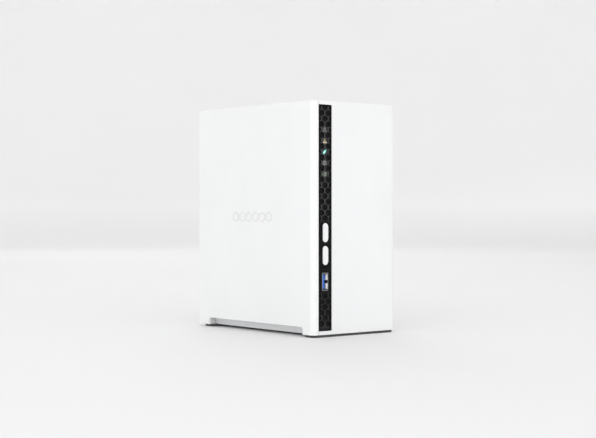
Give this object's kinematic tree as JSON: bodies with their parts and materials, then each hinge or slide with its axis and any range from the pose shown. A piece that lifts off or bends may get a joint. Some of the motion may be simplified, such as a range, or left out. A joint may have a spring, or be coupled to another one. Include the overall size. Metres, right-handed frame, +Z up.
{
  "type": "network attached storage",
  "caption": "Upright white desktop storage box with a slide-off side cover, a black honeycomb front strip, push buttons, rear fan and sockets, on rubber feet.",
  "frame": {"origin": "centre of the footprint, on the surface the feet stand on", "axes": "+Z up; the front with the strip and buttons faces -Y, the fan and sockets face +Y, the side cover is on -X"},
  "size_m": [0.0902, 0.1562, 0.1886],
  "materials": {
    "case_white": "fine satin moulded, near white",
    "base_white": "satin moulded, cool light grey",
    "strip_black": "semi-gloss black with honeycomb relief",
    "button_white": "smooth satin white",
    "foot_rubber": "matt dark grey",
    "sheet_steel": "zinc plated sheet",
    "screw_zinc": "zinc plated",
    "screw_black": "blackened",
    "socket_steel": "nickel plated",
    "tongue_blue": "blue moulded",
    "socket_black": "black moulded",
    "board_green": "solder resist over laminate",
    "chip_black": "moulded package",
    "fin_aluminium": "extruded",
    "cell_steel": "polished",
    "fan_black": "glass-filled black",
    "coil_copper": "enamelled copper winding",
    "shaft_steel": "ground",
    "drive_cast": "cast, lacquered",
    "lead_black": "sleeved lead",
    "pipe_grey": "clear light guide, unlit",
    "pipe_amber": "clear light guide, lit warm",
    "pipe_teal": "clear light guide, lit teal"
  },
  "bodies": {
    "chassis": {"main_shell": "case_white", "base_tray": "base_white", "rear_panel": "base_white", "front_foot": "foot_rubber", "rear_foot": "foot_rubber", "front_strip": "strip_black", "power_switch": "chip_black", "copy_switch": "chip_black", "light_pipe_1": "pipe_grey", "light_pipe_2": "pipe_amber", "light_pipe_3": "pipe_teal", "light_pipe_4": "pipe_grey", "light_pipe_5": "pipe_grey", "front_board": "board_green", "front_usb": "socket_steel", "front_usb_tongue": "tongue_blue", "mainboard": "board_green", "processor": "chip_black", "memory_chip": "chip_black", "buzzer": "chip_black", "coin_cell": "cell_steel", "heatsink": "fin_aluminium", "lan_socket": "socket_steel", "rear_usb_lower": "socket_steel", "rear_usb_upper": "socket_steel", "rear_usb_lower_tongue": "socket_black", "rear_usb_upper_tongue": "socket_black", "power_inlet": "socket_black", "power_inlet_pin": "socket_steel", "reset_switch": "chip_black", "drive_socket_left": "socket_black", "drive_socket_right": "socket_black", "drive_cage": "sheet_steel", "drive_left": "drive_cast", "drive_right": "drive_cast", "fan_frame": "fan_black", "fan_stator": "coil_copper", "fan_screw_1": "screw_black", "fan_screw_2": "screw_black", "fan_screw_3": "screw_black", "fan_screw_4": "screw_black", "cover_screw_1": "screw_zinc", "cover_screw_2": "screw_zinc", "panel_screw_1": "screw_zinc", "panel_screw_2": "screw_zinc", "board_screw_1": "screw_zinc", "board_screw_2": "screw_zinc", "board_screw_3": "screw_zinc", "board_screw_4": "screw_zinc", "fan_lead": "lead_black", "front_lead": "lead_black"},
    "side_cover": {"side_cover": "case_white"},
    "power_button": {"power_button": "button_white", "power_plunger": "socket_steel"},
    "copy_button": {"copy_button": "button_white", "copy_plunger": "socket_steel"},
    "reset_plunger": {"reset_plunger": "socket_black"},
    "fan_rotor": {"fan_rotor": "fan_black", "fan_shaft": "shaft_steel"}
  },
  "joints": [
    {"name": "cover_slide", "type": "slide", "parent": "chassis", "child": "side_cover", "axis": [0, -1, 0], "range_m": [0, 0.02]},
    {"name": "power_press", "type": "slide", "parent": "chassis", "child": "power_button", "axis": [0, 1, 0], "range_m": [0, 0.0006], "stiffness_N_per_m": 900},
    {"name": "copy_press", "type": "slide", "parent": "chassis", "child": "copy_button", "axis": [0, 1, 0], "range_m": [0, 0.0006], "stiffness_N_per_m": 900},
    {"name": "reset_press", "type": "slide", "parent": "chassis", "child": "reset_plunger", "axis": [0, -1, 0], "range_m": [0, 0.0005], "stiffness_N_per_m": 900},
    {"name": "fan_spin", "type": "hinge", "parent": "chassis", "child": "fan_rotor", "pos_m": [0, 0.0618, 0.135], "axis": [0, 1, 0], "continuous": true}
  ]
}
